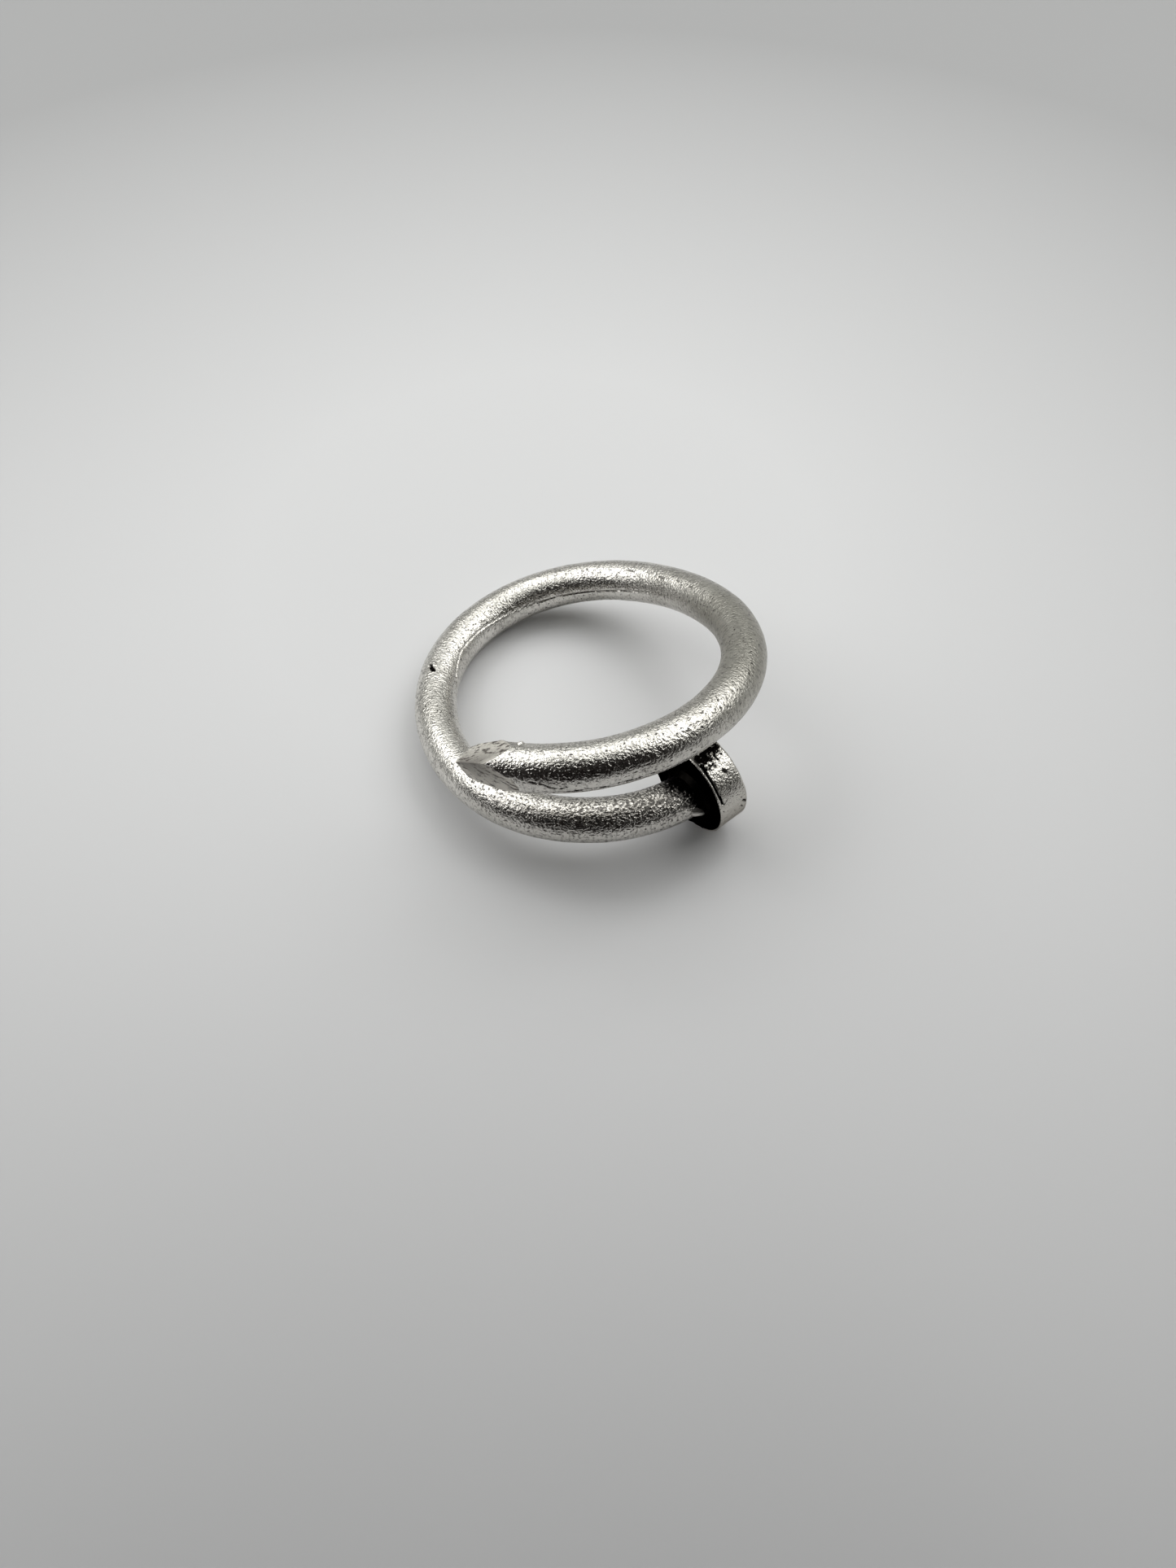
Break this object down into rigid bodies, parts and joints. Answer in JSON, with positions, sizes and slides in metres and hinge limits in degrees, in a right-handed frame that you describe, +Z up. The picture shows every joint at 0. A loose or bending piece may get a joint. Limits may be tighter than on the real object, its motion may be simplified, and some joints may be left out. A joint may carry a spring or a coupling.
{
  "type": "nail finger ring",
  "caption": "Open finger ring bent from one nail: a round rod that passes its own start, with a faceted point at one end and a flat disc head at the other.",
  "frame": {"origin": "on the level surface that the ring lies on, under the middle of its box", "axes": "+Z up from that surface; the two ends pass each other on the -Y side, with the head towards +X and the point towards -X; the finger goes through along +Z, tilted by 16 degrees"},
  "size_m": [0.0222, 0.0242, 0.0115],
  "materials": {
    "satin_silver": "cast sterling silver, tumbled to a grainy satin with dark oxide left in the pits",
    "darkened_silver": "cast sterling silver, oxidised dark on the face by the wire and rubbed bright on the rim",
    "silver_solder": "silver solder, flowed and oxidised dark with one bright bead"
  },
  "bodies": {
    "root": {"shank": "satin_silver", "head": "darkened_silver", "solder_fillet": "silver_solder"}
  },
  "joints": []
}
